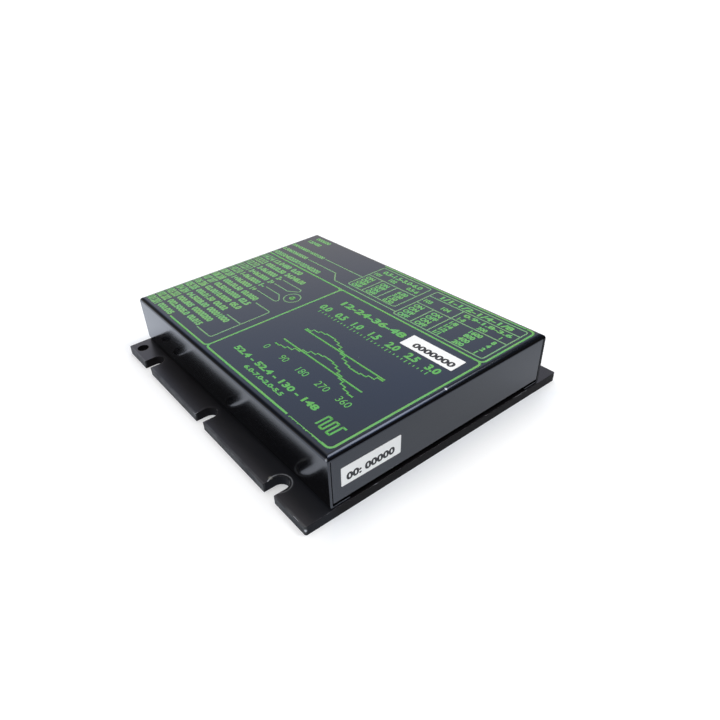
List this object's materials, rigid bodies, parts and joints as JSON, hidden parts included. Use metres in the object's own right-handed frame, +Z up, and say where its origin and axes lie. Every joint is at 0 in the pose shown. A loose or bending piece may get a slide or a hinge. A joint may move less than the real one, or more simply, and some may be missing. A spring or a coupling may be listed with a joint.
{
  "type": "stepper driver module",
  "caption": "Flat black stepper motor driver: bent sheet cover with folded end flaps on a thick flanged base plate with open fixing slots, terminal headers and slide switches at one end.",
  "frame": {"origin": "middle of the base plate's underside", "axes": "X across the flanges, +Y along the module towards the terminal end, +Z up out of the base plate"},
  "size_m": [0.13, 0.1484, 0.0273],
  "materials": {
    "base_black": "black anodised, satin, rubbed bright at edges",
    "cover_black": "black, semi-gloss",
    "steel": "zinc plated",
    "label_white": "white tape, satin",
    "board_green": "solder mask",
    "brass": "turned",
    "header_green": "moulded",
    "tinned_pins": "tinned",
    "switch_blue": "moulded",
    "lever_white": "moulded",
    "insulator_grey": "filled silicone pad",
    "tab_metal": "tinned",
    "chip_black": "moulded",
    "ceramic_buff": "cement",
    "capacitor_blue": "sleeved",
    "ferrite_grey": "ferrite",
    "socket_black": "moulded",
    "opto_white": "moulded"
  },
  "bodies": {
    "module": {"base_plate": "base_black", "cover": "cover_black", "cover_screws": "steel", "cover_nuts": "steel", "top_label": "label_white", "front_label": "label_white", "circuit_board": "board_green", "board_standoffs": "brass", "board_screws": "steel", "signal_header": "header_green", "signal_pins": "tinned_pins", "supply_header": "header_green", "supply_pins": "tinned_pins", "switch_body": "switch_blue", "switch_pins": "tinned_pins", "insulator_strip": "insulator_grey", "transistor_tabs": "tab_metal", "transistor_bodies": "chip_black", "transistor_screws": "steel", "sense_resistors": "ceramic_buff", "bulk_capacitors": "capacitor_blue", "capacitor_leads": "tinned_pins", "supply_choke": "ferrite_grey", "controller_socket": "socket_black", "controller_chip": "chip_black", "crystal": "steel", "driver_chips": "chip_black", "driver_leads": "tinned_pins", "optocouplers": "opto_white", "optocoupler_leads": "tinned_pins"},
    "lever_1": {"switch_lever_1": "lever_white"},
    "lever_2": {"switch_lever_2": "lever_white"},
    "lever_3": {"switch_lever_3": "lever_white"},
    "lever_4": {"switch_lever_4": "lever_white"}
  },
  "joints": [
    {"name": "lever_1_slide", "type": "slide", "parent": "module", "child": "lever_1", "axis": [0, 0, 1], "range_m": [0, 0.0018]},
    {"name": "lever_2_slide", "type": "slide", "parent": "module", "child": "lever_2", "axis": [0, 0, 1], "range_m": [0, 0.0018]},
    {"name": "lever_3_slide", "type": "slide", "parent": "module", "child": "lever_3", "axis": [0, 0, 1], "range_m": [0, 0.0018]},
    {"name": "lever_4_slide", "type": "slide", "parent": "module", "child": "lever_4", "axis": [0, 0, 1], "range_m": [0, 0.0018]}
  ]
}
